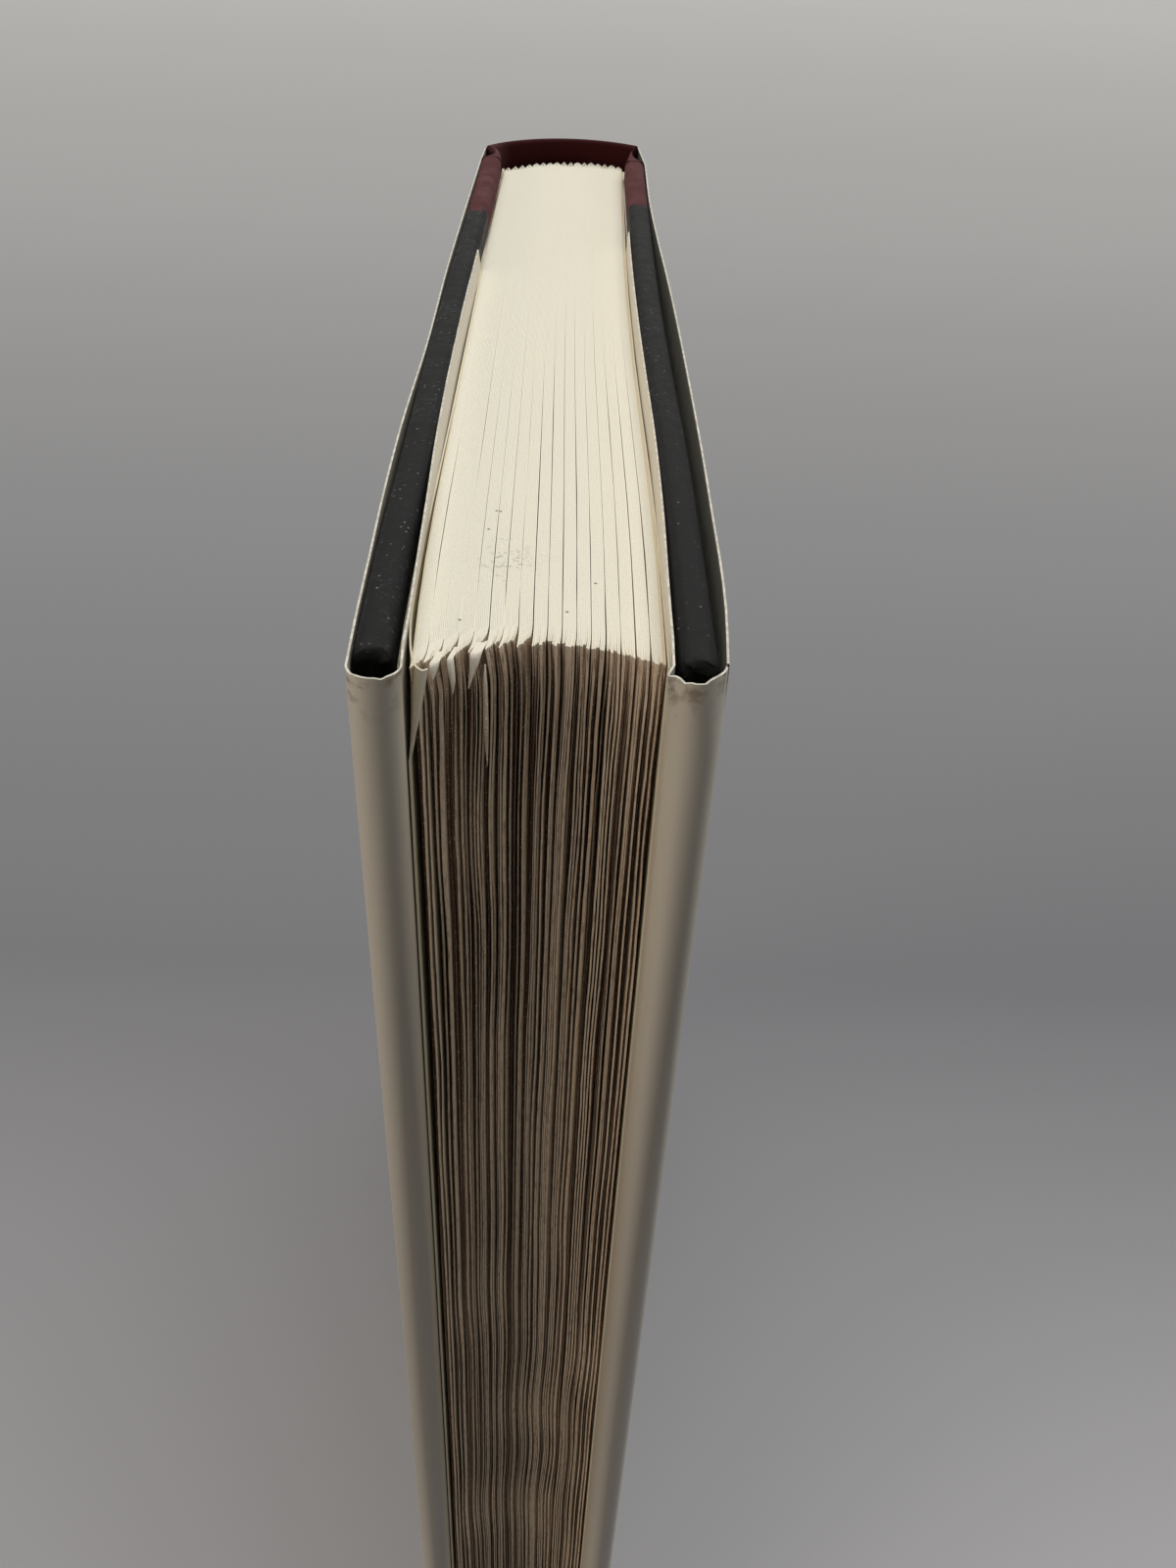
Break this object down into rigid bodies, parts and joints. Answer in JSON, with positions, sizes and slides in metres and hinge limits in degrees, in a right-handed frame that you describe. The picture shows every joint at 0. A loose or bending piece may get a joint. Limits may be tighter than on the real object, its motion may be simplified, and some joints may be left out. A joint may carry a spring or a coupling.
{
  "type": "hardcover book with dust jacket",
  "caption": "Closed case-bound book standing on its tail: sewn pages with a deckle fore edge, quarter-cloth boards that open on the joints, hollow back and a plain paper dust jacket.",
  "frame": {"origin": "middle of the closed book's foot print, on the surface that it stands on", "axes": "+Z from tail to head, +Y from the fore edge to the spine, +X from the front cover to the back cover"},
  "size_m": [0.0282, 0.1522, 0.216],
  "materials": {
    "pages": "matte uncoated, trimmed head",
    "endpaper": "matte uncoated",
    "cover_paper": "satin, dyed black",
    "cover_cloth": "matte book cloth",
    "grey_board": "matte",
    "spine_card": "matte",
    "mull_cloth": "open weave, starched",
    "kraft_paper": "matte",
    "jacket_paper": "coated, soft satin"
  },
  "bodies": {
    "book_block": {"text_block": "pages", "front_endpaper": "endpaper", "back_endpaper": "endpaper", "spine_mull": "mull_cloth", "spine_liner": "kraft_paper", "spine_strip": "spine_card", "spine_cloth": "cover_cloth", "jacket_spine": "jacket_paper"},
    "front_cover": {"front_board": "grey_board", "front_cover_paper": "cover_paper", "front_cover_cloth": "cover_cloth", "front_pastedown": "endpaper", "front_mull_wing": "mull_cloth", "jacket_front": "jacket_paper"},
    "back_cover": {"back_board": "grey_board", "back_cover_paper": "cover_paper", "back_cover_cloth": "cover_cloth", "back_pastedown": "endpaper", "back_mull_wing": "mull_cloth", "jacket_back": "jacket_paper"}
  },
  "joints": [
    {"name": "front_cover_hinge", "type": "hinge", "parent": "book_block", "child": "front_cover", "pos_m": [-0.00954, 0.06898, 0.108], "axis": [0, 0, -1], "range_deg": [0, 180], "deforming": ["spine_cloth", "spine_mull", "jacket_spine", "front_endpaper"]},
    {"name": "back_cover_hinge", "type": "hinge", "parent": "book_block", "child": "back_cover", "pos_m": [0.00954, 0.07022, 0.108], "axis": [0, 0, 1], "range_deg": [0, 180], "deforming": ["spine_cloth", "spine_mull", "jacket_spine", "back_endpaper"]}
  ]
}
